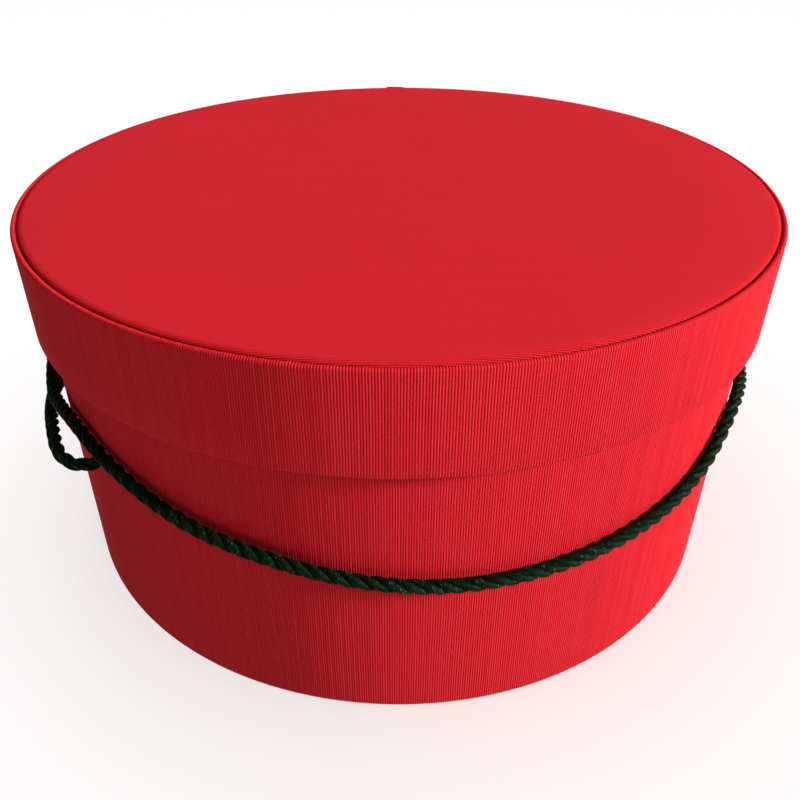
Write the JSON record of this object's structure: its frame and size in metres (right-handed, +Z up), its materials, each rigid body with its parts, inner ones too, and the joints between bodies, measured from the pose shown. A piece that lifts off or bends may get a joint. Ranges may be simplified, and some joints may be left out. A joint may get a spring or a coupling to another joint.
{
  "type": "hat box",
  "caption": "Round covered hat box with a lift-off lid, ribbed red cloth cover and a twisted green cord handle.",
  "frame": {"origin": "centre of the underside, where the box stands", "axes": "+Z up through the lid; -Y is the front, where the cord handle hangs; the seams are at the back, 2 degrees past +Y towards -X"},
  "size_m": [0.4053, 0.401, 0.2008],
  "materials": {
    "ribbed_cover": "red rib-weave cover with a soft sheen",
    "grey_board": "plain grey pasteboard",
    "joint_tape": "gummed brown paper tape",
    "lining_paper": "uncoated off-white paper",
    "underside_paper": "uncoated off-white paper",
    "twisted_cord": "dark green twisted yarn with a soft sheen",
    "end_tape": "dark thread whipping"
  },
  "bodies": {
    "base": {"base_side_board": "grey_board", "base_floor_board": "grey_board", "base_joint_tape": "joint_tape", "base_side_cover": "ribbed_cover", "base_side_lining": "lining_paper", "base_floor_lining": "lining_paper", "base_underside_paper": "underside_paper", "handle_cord": "twisted_cord", "handle_knot_left": "twisted_cord", "handle_knot_right": "twisted_cord", "cord_tail_left": "twisted_cord", "cord_tail_right": "twisted_cord", "cord_end_tape_left": "end_tape", "cord_end_tape_right": "end_tape"},
    "lid": {"lid_side_board": "grey_board", "lid_joint_tape": "joint_tape", "lid_top_board": "grey_board", "lid_side_cover": "ribbed_cover", "lid_panel_board": "grey_board", "lid_panel_cover": "ribbed_cover", "lid_side_lining": "lining_paper", "lid_top_lining": "lining_paper"}
  },
  "joints": [
    {"name": "lid_lift", "type": "slide", "parent": "base", "child": "lid", "axis": [0, 0, 1], "range_m": [0, 0.15]}
  ]
}
